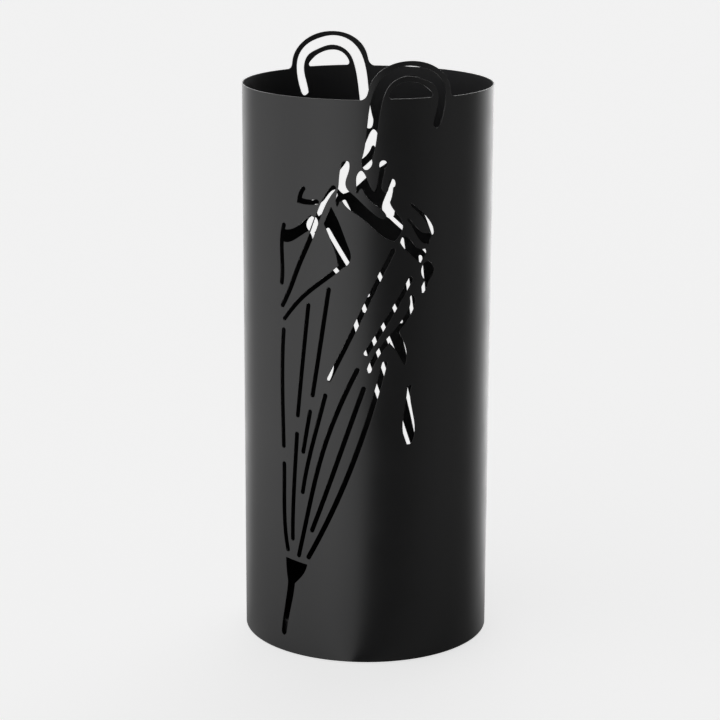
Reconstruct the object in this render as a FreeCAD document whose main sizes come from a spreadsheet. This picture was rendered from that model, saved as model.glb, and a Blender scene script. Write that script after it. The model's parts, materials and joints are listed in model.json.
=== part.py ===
import FreeCAD
import Part
import math
import os
import Sketcher
from FreeCAD import Base, Placement, Rotation, Vector

# Umbrella stand.  One steel sheet is laser-cut flat with an umbrella motif on each half, rolled into a
# cylinder and welded along a butt seam.  A pressed pan closes its foot, four stuck-on rubber pads carry it,
# and a loose plastic tray inside catches the drips.
#
# Frame: the floor is Z = 0, the cylinder's axis is Z, the front half faces -Y and the seam is at +X.

# Driving dimensions: alias, value (millimetres, degrees or a count), meaning.
SIZES = (
    ("shell_diameter", 200.0, "outside diameter of the rolled shell"),
    ("wall_height", 452.0, "foot edge to the straight rim"),
    ("loop_rise", 29.0, "straight rim to the top of a crook loop"),
    ("sheet_thickness", 1.0, "steel sheet of the shell"),
    ("seam_gap", 1.2, "gap between the sheet's butted edges, filled by the weld"),
    ("fine_slot", 3.5, "width of the thinnest canopy slots"),
    ("rib_slot", 3.7, "width of the canopy's rib slots"),
    ("broad_slot", 4.0, "width of the broad slots"),
    ("stand_off", 1.5, "floor to the shell's foot edge"),
    ("seam_bead_rise", 0.5, "how far the weld's root stands inside the shell"),
    ("seam_bead_width", 3.0, "width of the weld's root"),
    ("pan_recess", 1.0, "shell's foot edge to the pan's underside"),
    ("pan_thickness", 1.0, "steel of the base pan"),
    ("pan_skirt", 10.0, "overall height of the pan's upturned skirt"),
    ("pan_bend", 2.5, "outside bend radius between the pan's floor and skirt"),
    ("pan_clearance", 0.1, "gap between the skirt and the shell"),
    ("tack_count", 6, "fillet welds around the pan"),
    ("tack_angle", 9.0, "arc that each fillet weld covers"),
    ("tack_foot", 0.25, "pan's underside to the lower edge of a fillet weld"),
    ("tack_top", 3.0, "pan's underside to the upper edge of a fillet weld"),
    ("tack_reach", 1.5, "how far a fillet weld runs in under the pan's bend"),
    ("pad_diameter", 18.0, "rubber foot pad"),
    ("pad_inset", 24.0, "outside of the shell to a pad's centre"),
    ("pad_rounding", 0.7, "rounded lower edge of a pad"),
    ("adhesive_diameter", 16.0, "adhesive disc above a pad"),
    ("adhesive_thickness", 0.3, "adhesive disc"),
    ("tray_height", 24.0, "overall height of the drip tray"),
    ("tray_clearance", 1.2, "gap between the tray's rim and the pan's skirt"),
    ("tray_taper", 2.5, "how much smaller the tray's radius is at its floor"),
    ("tray_wall", 1.8, "moulded wall and floor of the tray"),
    ("tray_lip", 1.6, "how far the rolled rim stands outside the tray's wall"),
    ("tray_rib", 1.4, "height of the drain ribs above the tray's floor"),
    ("tray_rib_width", 2.4, "width of a drain rib"),
    ("tray_rib_count", 8, "drain ribs"),
    ("tray_rib_start", 12.0, "tray's axis to the inner end of a drain rib"),
    ("tray_rib_margin", 9.0, "outer end of a drain rib to the floor's edge"),
    ("tray_lug", 26.0, "width of a finger lug"),
    ("tray_lug_reach", 11.0, "how far a finger lug stands in from the tray's wall"),
)

# The motif is drawn on a flat sheet of these sizes and stretched with the real one.  A point is
# (across, up): across is measured along the outside from the half's centre line, up from the foot edge.
DRAWN_DIAMETER = 200.0
DRAWN_HEIGHT = 452.0
DRAWN_RISE = 30.0

# Slots of even width with round ends: width alias and centre line.
SLOTS = (
    # lower end of the furled skirt
    ("broad_slot", ((-68.5, 158.5), (-68.7, 130), (-67.2, 100), (-65, 88))),
    ("rib_slot", ((-55.5, 185.5), (-58, 150), (-59.3, 128), (-60, 98))),
    ("fine_slot", ((-43.5, 205.5), (-49.7, 172))),
    ("fine_slot", ((-30.5, 220), (-39, 188), (-43.3, 171.7), (-50.3, 138.5))),
    ("rib_slot", ((-5, 242), (-18.3, 213), (-30, 182), (-44.2, 128), (-54, 85))),
    ("rib_slot", ((0, 227), (-11.7, 193), (-33.5, 130), (-41.8, 108))),
    ("broad_slot", ((16.3, 247), (10, 223), (-8.3, 166), (-30, 114), (-45, 85))),
    # middle of the canopy
    ("broad_slot", ((-68.5, 268), (-70, 240), (-69.8, 205), (-69, 173.7))),
    ("fine_slot", ((-44.8, 291), (-50, 245), (-54.7, 201))),
    ("fine_slot", ((-27.7, 305), (-34.3, 262), (-41.2, 219.3))),
    ("rib_slot", ((22.2, 336.5), (-5, 279.5), (-18.6, 251), (-27.3, 233.5))),
    ("rib_slot", ((36.6, 313), (24.5, 292), (1.8, 255.3))),
    ("rib_slot", ((38, 298.6), (37.9, 291.5), (35, 285.6), (19.5, 266), (4, 241.5))),
    # upper left edge and the two ribs that meet it
    ("broad_slot", ((-67.8, 351.6), (-69.3, 346), (-69.8, 325), (-70.3, 306))),
    ("broad_slot", ((-24, 384.5), (-30, 376), (-42, 346.5), (-53, 322.5), (-60.7, 304.3), (-69.5, 288))),
    ("fine_slot", ((-18, 323.5), (-30, 313.5), (-50, 297), (-58.6, 288), (-67.5, 277.5))),
)

# Openings with a drawn outline.  Each is a ring of smooth stretches: a stretch runs through its points and
# on to the next stretch's first one, so that corners stand only between stretches.
FERRULE = (
    ((-67, 80.8),),
    ((-46.3, 78.3), (-50, 69.5), (-54, 64.5)),
    ((-58, 60.5), (-61, 44), (-65, 27)),
    ((-67, 16), (-69.6, 13.5)),
    ((-72.3, 16), (-71, 26), (-68.3, 40)),
    ((-65, 61), (-66.5, 71)),
)
STRAP_TAIL = (
    ((34.8, 228.8),),
    ((38.3, 228.5), (40, 203), (39.5, 184)),
    ((37.5, 180.8),),
    ((34.8, 180.6), (31.2, 192), (33.3, 215)),
)
SCALLOP = (
    ((-69, 348.6), (-62, 348.9), (-50, 355.8)),
    ((-43, 362.2),),
    ((-39.7, 360.4),),
    ((-43.7, 350.3), (-50, 346.3), (-57, 341.6), (-63, 338.9)),
    ((-69, 339),),
)
FOLD = (
    ((-26, 370), (-21, 361), (-13, 341), (-10.4, 330.5), (-12, 326.2)),
    ((-18, 322.3),),
    ((-20.6, 325.5), (-22, 333), (-26.5, 344.5)),
    ((-31.7, 356.5), (-29.7, 361)),
)
SMALL_HOOK = (
    ((-50.7, 383), (-53.6, 377.5)),
    ((-54.8, 370.8), (-46, 370)),
    ((-37.5, 370.8), (-35.6, 372.8)),
    ((-37.5, 374.8), (-44, 374)),
    ((-50.3, 374.8), (-49.2, 378.5)),
    ((-47.2, 381.6), (-48.2, 383.8)),
)
CROWN = (
    ((-18, 402.5), (-15.5, 405.4), (-12.7, 405.2), (-11.6, 402), (-14.5, 390.5)),
    ((-12.3, 382.6), (0, 371.5), (8.5, 364)),
    ((12.5, 361.4), (15.5, 361.6)),
    ((16.9, 363.8), (13, 368.7), (5, 374.6), (0.6, 380)),
    ((-0.8, 383.3), (-2.6, 384.6), (-4.4, 382.6)),
    ((-5, 380.8),),
    ((-6.4, 381.3), (-6.3, 388), (-5, 396.3), (-2.8, 398.2), (0.3, 395.2), (5.3, 384.5)),
    ((7.4, 382.2), (9.2, 386), (10.5, 392.5)),
    ((11.9, 400.3), (11.2, 403), (12.8, 405.9), (15.6, 405.9), (17.1, 403.7)),
    ((14.9, 400), (13.2, 388), (14.2, 382.7)),
    ((16.5, 381.2), (18.4, 386.8), (18.9, 390.3), (21.8, 391.7), (23.7, 388.7)),
    ((21.9, 385.2), (20.3, 376)),
    ((19.5, 373.8), (24.5, 365.6), (29, 359.2), (29.9, 355.5)),
    ((29.6, 353), (28, 348.8)),
    ((23, 343.5), (18, 345.2), (10, 351), (-5, 364), (-13, 369.3)),
    ((-17, 374.3),),
    ((-19.6, 374), (-20.2, 371.3)),
    ((-21.2, 370.1), (-22.2, 374), (-20.4, 384), (-19.7, 391.5)),
)
CRESCENTS = (
    ((36.5, 372.6), (45.5, 365.3), (53.5, 356), (56.1, 349.5), (55.6, 346.8)),
    ((54.2, 346.6),),
    ((51.3, 339.6), (49, 339.9), (39, 351)),
    ((34.2, 358.3), (33.2, 360.2)),
    ((34.5, 361), (43, 351.4), (47, 348.8)),
    ((53, 348.4), (50.3, 354.8), (46, 360.8)),
    ((35.8, 370.8), (35.4, 372.2)),
)
BAND = (
    ((30.4, 347.5), (38, 341.5), (42, 337.4), (45, 336.2)),
    ((48.3, 336.2), (49.4, 334.6)),
    ((49.2, 332), (47.2, 329.5)),
    ((45, 325.4), (43.6, 326.2), (36, 333), (30, 339)),
    ((28, 342.3), (28.6, 345)),
)
LEAF = (
    ((50, 326.3), (53.8, 324.8), (56.6, 319.5), (51.8, 310), (50.3, 305.5)),
    ((47.5, 301.3), (45.3, 302.5), (47, 308.8)),
    ((48.9, 311.8), (45.6, 316.8), (46, 322.2)),
)
STRAP = (
    ((26.3, 274), (32.3, 261.5), (33.8, 255), (33.4, 248.5)),
    ((32, 244.5), (28, 252.2), (24.5, 258.2)),
    ((20.6, 262.8),),
    ((20, 267),),
)
CROOK = (
    ((-2.2, 406.8), (1.8, 431), (5, 453), (10, 465.5), (19, 474.5), (32, 478.3), (45, 476.3), (57, 470.8),
     (64.5, 461), (65.7, 450)),
    ((61.5, 432.5), (58.2, 428.9)),
    ((54.2, 431), (56.5, 441), (58.5, 453), (55.5, 461.3), (45, 467.4), (34, 470.3), (24, 467.8),
     (17.2, 461.3), (13.8, 453), (9.7, 429)),
    ((5.3, 406.5), (4.8, 401.6), (2.8, 399.5)),
)
HANDLE_HOLE = (
    ((19.6, 452.7),),
    ((52.8, 452.7), (53.9, 454.6), (51.6, 458), (47.5, 461.5), (41.1, 464.6), (34, 466), (27, 465),
     (22.2, 461.9), (19.2, 457.8), (18.3, 454.2)),
)
OUTLINES = (FERRULE, STRAP_TAIL, SCALLOP, FOLD, SMALL_HOOK, CROWN, CRESCENTS, BAND, LEAF, STRAP, CROOK,
            HANDLE_HOLE)

# The crook loop's outer edge; its foot lies inside the wall, where it is fused to the rest of the sheet.
CROOK_LOOP = (
    ((-2.8, 452), (0.9, 454.6), (2.9, 461), (9.3, 472.5), (20, 479.5), (32, 482), (45, 480.8), (57, 475.8),
     (65.8, 468), (69.9, 459), (71.2, 453.6)),
    ((74, 452),),
    ((74, 446),),
    ((-2.8, 446),),
)


def make_sheet(doc):
    """The spreadsheet of driving dimensions."""
    sheet = doc.addObject("Spreadsheet::Sheet", "Sizes")
    for row, (alias, value, meaning) in enumerate(SIZES, start=1):
        sheet.set(f"A{row}", meaning)
        sheet.set(f"B{row}", str(value))
        sheet.setAlias(f"B{row}", alias)
    doc.recompute()
    return sheet


# ---------------------------------------------------------------- the flat sheet

def drawn_point(sheet, point):
    """A drawn point, stretched to the real sheet."""
    across, up = point
    across *= sheet.shell_diameter / DRAWN_DIAMETER
    if up > DRAWN_HEIGHT:
        return Vector(across, sheet.wall_height + (up - DRAWN_HEIGHT) * sheet.loop_rise / DRAWN_RISE)
    return Vector(across, up * sheet.wall_height / DRAWN_HEIGHT)


def smooth_curve(points):
    """The line or spline that runs through the points."""
    if len(points) == 2:
        return Part.LineSegment(*points)
    curve = Part.BSplineCurve()
    curve.interpolate(points)
    return curve


def slot_face(sheet, width_alias, centre_line):
    """A slot of even width along a centre line, with round ends."""
    half = getattr(sheet, width_alias) / 2
    middle = [drawn_point(sheet, point) for point in centre_line]
    curve = smooth_curve(middle)
    left, right = [], []
    for point in middle:
        ahead = curve.tangent(curve.parameter(point))[0]
        side = Vector(-ahead.y, ahead.x, 0) * half
        left.append(point + side)
        right.insert(0, point - side)
    start = middle[0] - curve.tangent(curve.FirstParameter)[0] * half
    end = middle[-1] + curve.tangent(curve.LastParameter)[0] * half
    return face_of([
        smooth_curve(left),
        Part.Arc(left[-1], end, right[0]),
        smooth_curve(right),
        Part.Arc(right[-1], start, left[0]),
    ])


def outline_face(sheet, outline):
    """A face bounded by a ring of smooth stretches."""
    curves = []
    for index, stretch in enumerate(outline):
        following = outline[(index + 1) % len(outline)]
        points = [drawn_point(sheet, point) for point in stretch + following[:1]]
        curves.append(smooth_curve(points))
    return face_of(curves)


def face_of(curves):
    """The flat face inside a closed ring of curves, facing up whichever way the ring runs."""
    face = Part.Face(Part.Wire([curve.toShape() for curve in curves]))
    if face.normalAt(0, 0).z < 0:
        ring = face.OuterWire
        ring.reverse()
        face = Part.Face(Part.Plane(), ring)
    return face


def on_both_halves(sheet, face):
    """The face on the front half and again on the back half."""
    half_turn = Vector(-math.pi * sheet.shell_diameter / 2, 0, 0)
    return [face, face.translated(half_turn)]


def motif_openings(sheet):
    """Everything that is cut out of the flat sheet."""
    motif = [slot_face(sheet, alias, line) for alias, line in SLOTS]
    motif += [outline_face(sheet, outline) for outline in OUTLINES]
    return [opening for face in motif for opening in on_both_halves(sheet, face)]


def flat_blank(sheet):
    """The laser-cut sheet before rolling: a long strip with two crook loops, less the openings."""
    turn = math.pi * sheet.shell_diameter
    strip = Part.makePlane(turn - sheet.seam_gap, sheet.wall_height,
                           Vector(-0.75 * turn + sheet.seam_gap / 2, 0, 0))
    whole = strip.fuse(on_both_halves(sheet, outline_face(sheet, CROOK_LOOP))).removeSplitter()
    cut = whole.cut(motif_openings(sheet))
    if len(cut.Faces) != 1:
        raise RuntimeError(f"the cut sheet falls into {len(cut.Faces)} pieces")
    return cut.Faces[0]


# ---------------------------------------------------------------- rolling the sheet

def rolled_edge(edge, surface, outer_radius):
    """One edge of the flat sheet, laid on a cylinder: across turns into an angle, up stays up."""
    def rolled(point):
        return Base.Vector2d(point.x / outer_radius + 1.5 * math.pi, point.y)

    first, last = edge.ParameterRange
    if isinstance(edge.Curve, Part.Line):
        curve = Part.Geom2d.Line2dSegment(rolled(edge.valueAt(first)), rolled(edge.valueAt(last)))
    else:
        flat = edge.Curve.toBSpline(first, last)
        curve = Part.Geom2d.BSplineCurve2d()
        curve.buildFromPolesMultsKnots([rolled(pole) for pole in flat.getPoles()], flat.getMultiplicities(),
                                       flat.getKnots(), False, flat.Degree, flat.getWeights())
    laid = curve.toShape(surface)
    if edge.Orientation == "Reversed":
        laid.reverse()
    return laid


def rolled_skin(blank, radius, outer_radius):
    """One skin of the rolled sheet: its trimmed cylinder, and the ring of edges of each boundary."""
    surface = Part.Cylinder()
    surface.Radius = radius
    rings = [[rolled_edge(edge, surface, outer_radius) for edge in wire.OrderedEdges] for wire in blank.Wires]
    skin = Part.Face(surface, Part.Wire(rings[0]))
    for ring in rings[1:]:
        skin = Part.Face(skin, Part.Wire(ring))
    return skin, rings


def rolled_sheet(blank, outer_radius, thickness):
    """The solid that the flat sheet becomes: both skins and the cut walls between them."""
    outer_skin, outer_rings = rolled_skin(blank, outer_radius, outer_radius)
    inner_skin, inner_rings = rolled_skin(blank, outer_radius - thickness, outer_radius)
    faces = [outer_skin, inner_skin]
    for outer_ring, inner_ring in zip(outer_rings, inner_rings):
        faces += [Part.makeRuledSurface(outer, inner) for outer, inner in zip(outer_ring, inner_ring)]
    shell = Part.makeShell(faces)
    shell.sewShape()
    solid = Part.makeSolid(shell)
    if solid.Volume < 0:
        solid.reverse()
    return solid


def make_shell(doc, sheet):
    """The rolled shell, standing clear of the floor by the pads' height."""
    shell = doc.addObject("Part::Feature", "Shell")
    shell.Label = "shell"
    shell.Shape = rolled_sheet(flat_blank(sheet), sheet.shell_diameter / 2, sheet.sheet_thickness)
    shell.Placement = Placement(Vector(0, 0, sheet.stand_off), Rotation())
    return shell


# ---------------------------------------------------------------- helpers for the other pieces

SHELL_INSIDE = "(Sizes.shell_diameter / 2 - Sizes.sheet_thickness)"
PAN_RADIUS = f"({SHELL_INSIDE} - Sizes.pan_clearance)"
PAN_UNDERSIDE = "(Sizes.stand_off + Sizes.pan_recess)"
TRAY_RADIUS = f"({PAN_RADIUS} - Sizes.pan_thickness - Sizes.tray_clearance)"
TRAY_WALL_RADIUS = f"({TRAY_RADIUS} - Sizes.tray_lip)"
TRAY_FLOOR_RADIUS = f"({TRAY_WALL_RADIUS} - Sizes.tray_taper)"


def add(doc, kind, name, **expressions):
    """A document object whose properties follow expressions; __ in a name stands for a dot."""
    thing = doc.addObject(kind, name)
    bind(thing, **expressions)
    return thing


def bind(thing, **expressions):
    """Tie properties to expressions; __ in a name stands for a dot."""
    for name, expression in expressions.items():
        thing.setExpression(name.replace("__", "."), expression)


def origin_plane(body, role):
    """One of a body's own origin planes."""
    return next(plane for plane in body.Origin.OriginFeatures if plane.Role == role)


def new_sketch(body, name, role):
    """An empty sketch on one of the body's own origin planes."""
    sketch = body.newObject("Sketcher::SketchObject", name)
    sketch.AttachmentSupport = [(origin_plane(body, role), "")]
    sketch.MapMode = "FlatFace"
    return sketch


def polygon_sketch(body, name, role, corners):
    """A closed polygon; each corner is a pair of expressions, or 0 where it lies on an axis."""
    sketch = new_sketch(body, name, role)
    places = [Vector(*(value and sketch.evalExpression(value) for value in corner)) for corner in corners]
    for index, place in enumerate(places):
        sketch.addGeometry(Part.LineSegment(place, places[(index + 1) % len(places)]), False)
    for index in range(len(places)):
        sketch.addConstraint(Sketcher.Constraint("Coincident", index, 2, (index + 1) % len(places), 1))
    for index, (across, up) in enumerate(corners):
        constrain_corner(sketch, index, "DistanceX", across, places[index].x, -2)
        constrain_corner(sketch, index, "DistanceY", up, places[index].y, -1)
    return sketch


def constrain_corner(sketch, line, kind, expression, value, axis):
    """Hold the start of a line at an expression, or on the axis where the expression is 0."""
    if not expression:
        sketch.addConstraint(Sketcher.Constraint("PointOnObject", line, 1, axis))
        return
    index = sketch.addConstraint(Sketcher.Constraint(kind, -1, 1, line, 1, value))
    name = f"{kind}{line}"
    sketch.renameConstraint(index, name)
    sketch.setExpression(f"Constraints.{name}", expression)


def circle_sketch(body, name, diameter):
    """A circle about the body's own Z axis."""
    sketch = new_sketch(body, name, "XY_Plane")
    radius = sketch.evalExpression(diameter) / 2
    sketch.addGeometry(Part.Circle(Vector(), Vector(0, 0, 1), radius), False)
    sketch.addConstraint(Sketcher.Constraint("Coincident", 0, 3, -1, 1))
    index = sketch.addConstraint(Sketcher.Constraint("Diameter", 0, 2 * radius))
    sketch.renameConstraint(index, "across")
    sketch.setExpression("Constraints.across", diameter)
    return sketch


def revolve(body, sketch, angle="360"):
    """Turn a sketch in the XZ plane about the body's Z axis, evenly to both sides of it."""
    turned = body.newObject("PartDesign::Revolution", f"{sketch.Name}Turned")
    turned.Profile = sketch
    turned.ReferenceAxis = (sketch, ["V_Axis"])
    turned.Midplane = True
    turned.setExpression("Angle", angle)
    return turned


def pad(body, sketch, length):
    """Thicken a sketch upwards."""
    padded = body.newObject("PartDesign::Pad", f"{sketch.Name}Pad")
    padded.Profile = sketch
    padded.setExpression("Length", length)
    return padded


def polar_pattern(body, feature, count):
    """Repeat a feature evenly around the body's Z axis."""
    pattern = body.newObject("PartDesign::PolarPattern", f"{feature.Name}Pattern")
    pattern.Originals = [feature]
    pattern.Axis = (next(line for line in body.Origin.OriginFeatures if line.Role == "Z_Axis"), [""])
    pattern.Angle = 360
    pattern.setExpression("Occurrences", count)
    body.Tip = pattern
    return pattern


def round_circles(body, feature, name, radius, wanted):
    """Fillet the full circles of a feature whose radius and height pass the test."""
    feature.Document.recompute()
    names = [f"Edge{number}" for number, edge in enumerate(feature.Shape.Edges, start=1)
             if isinstance(edge.Curve, Part.Circle) and edge.isClosed()
             and wanted(edge.Curve.Radius, edge.Curve.Center.z)]
    fillet = body.newObject("PartDesign::Fillet", name)
    fillet.Base = (feature, names)
    fillet.setExpression("Radius", radius)
    return fillet


def value_of(sheet, expression):
    """The number that an expression of the sheet's sizes stands for."""
    return float(sheet.evalExpression(expression))


# ---------------------------------------------------------------- weld, pan, pads and tray

def make_seam_weld(doc):
    """The butt weld: the gap filled flush with both skins, and a low root bead inside the shell."""
    gap_angle = "Sizes.seam_gap / (Sizes.shell_diameter / 2) * 180 / pi"
    wedge = add(doc, "Part::Cylinder", "SeamWedge", Radius="Sizes.shell_diameter / 2",
                Height="Sizes.wall_height", Angle=gap_angle,
                Placement__Base__z="Sizes.stand_off", Placement__Rotation__Angle=f"-({gap_angle}) / 2")
    core = add(doc, "Part::Cylinder", "SeamCore", Radius=SHELL_INSIDE, Height="Sizes.wall_height",
               Placement__Base__z="Sizes.stand_off")
    fill = doc.addObject("Part::Cut", "SeamFill")
    fill.Base, fill.Tool = wedge, core

    bead_radius = "((Sizes.seam_bead_width / 2) ^ 2 + Sizes.seam_bead_rise ^ 2) / (2 * Sizes.seam_bead_rise)"
    bead_start = "(2 * Sizes.pan_recess + Sizes.pan_skirt)"
    bead = add(doc, "Part::Cylinder", "SeamBead", Radius=bead_radius,
               Height=f"Sizes.wall_height - {bead_start} - Sizes.sheet_thickness",
               Placement__Base__x=f"{SHELL_INSIDE} - Sizes.seam_bead_rise + {bead_radius}",
               Placement__Base__z=f"Sizes.stand_off + {bead_start}")
    inside = add(doc, "Part::Cylinder", "SeamInside", Radius=SHELL_INSIDE, Height="Sizes.wall_height",
                 Placement__Base__z="Sizes.stand_off")
    root = doc.addObject("Part::MultiCommon", "SeamRoot")
    root.Shapes = [bead, inside]

    weld = doc.addObject("Part::MultiFuse", "SeamWeld")
    weld.Shapes = [fill, root]
    weld.Refine = True
    weld.Label = "seam_weld"
    return weld


def make_base_pan(doc, sheet):
    """The pressed pan that closes the foot, its skirt turned up inside the shell."""
    body = doc.addObject("PartDesign::Body", "BasePan")
    body.Label = "base_pan"
    inside = f"{PAN_RADIUS} - Sizes.pan_thickness"
    section = polygon_sketch(body, "PanSection", "XZ_Plane", (
        (0, 0), (PAN_RADIUS, 0), (PAN_RADIUS, "Sizes.pan_skirt"), (inside, "Sizes.pan_skirt"),
        (inside, "Sizes.pan_thickness"), (0, "Sizes.pan_thickness")))
    pan = revolve(body, section)
    outer = value_of(sheet, PAN_RADIUS)
    inner = value_of(sheet, inside)
    underside_rim = sheet.pan_thickness / 2
    bent = round_circles(body, pan, "PanOuterBend", "Sizes.pan_bend",
                         lambda radius, height: math.isclose(radius, outer) and height < underside_rim)
    round_circles(body, bent, "PanInnerBend", "Sizes.pan_bend - Sizes.pan_thickness",
                  lambda radius, height: math.isclose(radius, inner) and height < sheet.pan_bend)
    bind(body, Placement__Base__z=PAN_UNDERSIDE)
    return body


def make_tack_welds(doc, pan):
    """Short fillet welds in the groove between the pan's outer bend and the shell."""
    body = doc.addObject("PartDesign::Body", "TackBeads")
    body.AllowCompound = True
    section = polygon_sketch(body, "TackSection", "XZ_Plane", (
        (SHELL_INSIDE, "Sizes.tack_foot"), (SHELL_INSIDE, "Sizes.tack_top"),
        (f"{PAN_RADIUS} - Sizes.pan_thickness / 2", "Sizes.tack_top"),
        (f"{PAN_RADIUS} - Sizes.tack_reach", "Sizes.tack_foot")))
    bead = revolve(body, section, "Sizes.tack_angle")
    polar_pattern(body, bead, "Sizes.tack_count")
    bind(body, Placement__Base__z=PAN_UNDERSIDE)
    welds = doc.addObject("Part::Cut", "TackWelds")
    welds.Base, welds.Tool = body, pan
    welds.Label = "base_tack_welds"
    return welds


def make_foot(doc, number):
    """One rubber pad and the adhesive disc that holds it under the pan."""
    angle = f"{90 * number - 45} deg"
    from_axis = "(Sizes.shell_diameter / 2 - Sizes.pad_inset)"
    centre = {"Placement__Base__x": f"{from_axis} * cos({angle})",
              "Placement__Base__y": f"{from_axis} * sin({angle})"}
    height = f"({PAN_UNDERSIDE} - Sizes.adhesive_thickness)"

    body = doc.addObject("PartDesign::Body", f"FootPad{number}")
    body.Label = f"foot_pad_{number}"
    rubber = pad(body, circle_sketch(body, f"PadCircle{number}", "Sizes.pad_diameter"), height)
    round_circles(body, rubber, f"PadRounding{number}", "Sizes.pad_rounding",
                  lambda radius, height: height < 0.001)
    bind(body, **centre)

    disc = add(doc, "Part::Cylinder", f"FootAdhesive{number}", Radius="Sizes.adhesive_diameter / 2",
               Height="Sizes.adhesive_thickness", Placement__Base__z=height, **centre)
    disc.Label = f"foot_adhesive_{number}"
    return [body, disc]


def make_drip_tray(doc, sheet):
    """The loose tray: a tapered dish with an outward lip, drain ribs and two finger lugs."""
    body = doc.addObject("PartDesign::Body", "DripTray")
    body.Label = "drip_tray"
    lip_underside = "Sizes.tray_height - Sizes.tray_wall"
    dish = revolve(body, polygon_sketch(body, "TraySection", "XZ_Plane", (
        (0, 0), (TRAY_FLOOR_RADIUS, 0), (TRAY_WALL_RADIUS, lip_underside), (TRAY_RADIUS, lip_underside),
        (TRAY_RADIUS, "Sizes.tray_height"), (f"{TRAY_WALL_RADIUS} - Sizes.tray_wall", "Sizes.tray_height"),
        (f"{TRAY_FLOOR_RADIUS} - Sizes.tray_wall", "Sizes.tray_wall"), (0, "Sizes.tray_wall"))))

    half_rib = "Sizes.tray_rib_width / 2"
    rib_start = "Sizes.tray_rib_start"
    rib_end = f"{TRAY_FLOOR_RADIUS} - Sizes.tray_rib_margin"
    rib_sketch = polygon_sketch(body, "RibPlan", "XY_Plane", (
        (rib_start, f"-{half_rib}"), (rib_end, f"-{half_rib}"), (rib_end, half_rib), (rib_start, half_rib)))
    rib = pad(body, rib_sketch, "Sizes.tray_wall + Sizes.tray_rib")
    ribs = polar_pattern(body, rib, "Sizes.tray_rib_count")

    half_lug = "Sizes.tray_lug / 2"
    in_wall = f"sqrt(({TRAY_WALL_RADIUS} - Sizes.tray_wall / 2) ^ 2 - ({half_lug}) ^ 2)"
    lug_tip = f"{TRAY_WALL_RADIUS} - Sizes.tray_wall - Sizes.tray_lug_reach"
    lug_sketch = polygon_sketch(body, "LugPlan", "XY_Plane", (
        (f"-({half_lug})", lug_tip), (half_lug, lug_tip), (half_lug, in_wall), (f"-({half_lug})", in_wall)))
    lug_sketch.setExpression("AttachmentOffset.Base.z", lip_underside)
    lug = pad(body, lug_sketch, "Sizes.tray_wall")
    lugs = polar_pattern(body, lug, "2")

    floor_radius = value_of(sheet, TRAY_FLOOR_RADIUS)
    round_circles(body, lugs, "TrayFoot", "Sizes.tray_wall / 2",
                  lambda radius, height: math.isclose(radius, floor_radius) and height < 0.001)
    bind(body, Placement__Base__z=f"{PAN_UNDERSIDE} + Sizes.pan_thickness")
    return body


# ---------------------------------------------------------------- the whole stand

def check_objects(doc, pieces):
    """Stop if any object failed to recompute, or any piece is empty or invalid."""
    for thing in doc.Objects:
        if "Invalid" in thing.State or "Error" in thing.State:
            raise RuntimeError(f"{thing.Name} failed: {thing.State}")
    for piece in pieces:
        if piece.Shape.isNull() or not piece.Shape.isValid() or not piece.Shape.Solids:
            raise RuntimeError(f"{piece.Label} has no valid solid")


def main():
    """Build the document and write one STEP file for each piece."""
    doc = FreeCAD.newDocument("UmbrellaStand")
    sheet = make_sheet(doc)
    pan = make_base_pan(doc, sheet)
    pieces = [make_shell(doc, sheet), make_seam_weld(doc), pan, make_tack_welds(doc, pan)]
    for number in range(1, 5):
        pieces += make_foot(doc, number)
    pieces.append(make_drip_tray(doc, sheet))
    doc.recompute()
    check_objects(doc, pieces)

    os.makedirs("parts", exist_ok=True)
    for piece in pieces:
        piece.Shape.exportStep(os.path.join("parts", f"{piece.Label}.step"))
        print(f"{piece.Label}: {len(piece.Shape.Solids)} solid(s), {piece.Shape.Volume / 1000:.2f} cm3")


main()
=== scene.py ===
"""Umbrella stand: the visual model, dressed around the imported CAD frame.

A rolled and laser-cut steel shell with its seam weld, a pressed base pan with tack welds, four rubber foot
pads on adhesive discs, and a loose moulded drip tray. All lengths are metres in the frame's own axes.
"""

import json
import logging
import math
from dataclasses import dataclass, field
from enum import Enum
from typing import Iterable, Sequence

import bmesh
import bpy
import numpy as np
from mathutils import Matrix, Vector, geometry, kdtree

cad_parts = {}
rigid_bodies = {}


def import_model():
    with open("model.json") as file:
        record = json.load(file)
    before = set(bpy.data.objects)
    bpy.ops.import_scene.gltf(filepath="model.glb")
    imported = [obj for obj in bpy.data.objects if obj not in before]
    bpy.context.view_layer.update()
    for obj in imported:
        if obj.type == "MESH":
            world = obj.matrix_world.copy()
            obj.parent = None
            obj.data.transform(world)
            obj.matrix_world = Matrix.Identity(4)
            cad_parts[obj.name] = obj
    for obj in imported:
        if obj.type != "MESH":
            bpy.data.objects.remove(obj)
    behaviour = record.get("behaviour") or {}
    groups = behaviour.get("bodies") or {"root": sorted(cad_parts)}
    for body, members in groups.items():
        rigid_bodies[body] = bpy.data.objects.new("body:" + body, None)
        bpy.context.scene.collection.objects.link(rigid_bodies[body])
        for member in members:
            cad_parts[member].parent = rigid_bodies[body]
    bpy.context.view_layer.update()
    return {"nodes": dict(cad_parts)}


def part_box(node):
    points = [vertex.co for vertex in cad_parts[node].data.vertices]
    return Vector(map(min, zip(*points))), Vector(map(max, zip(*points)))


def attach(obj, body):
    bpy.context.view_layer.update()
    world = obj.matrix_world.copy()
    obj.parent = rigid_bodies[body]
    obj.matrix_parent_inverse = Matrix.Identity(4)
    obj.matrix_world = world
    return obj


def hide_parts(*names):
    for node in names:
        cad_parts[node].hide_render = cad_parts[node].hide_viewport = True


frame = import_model()

log = logging.getLogger("umbrella_stand")

MM = 0.001


class Body(Enum):
    """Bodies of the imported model."""

    STAND = "stand"
    TRAY = "tray"


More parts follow.
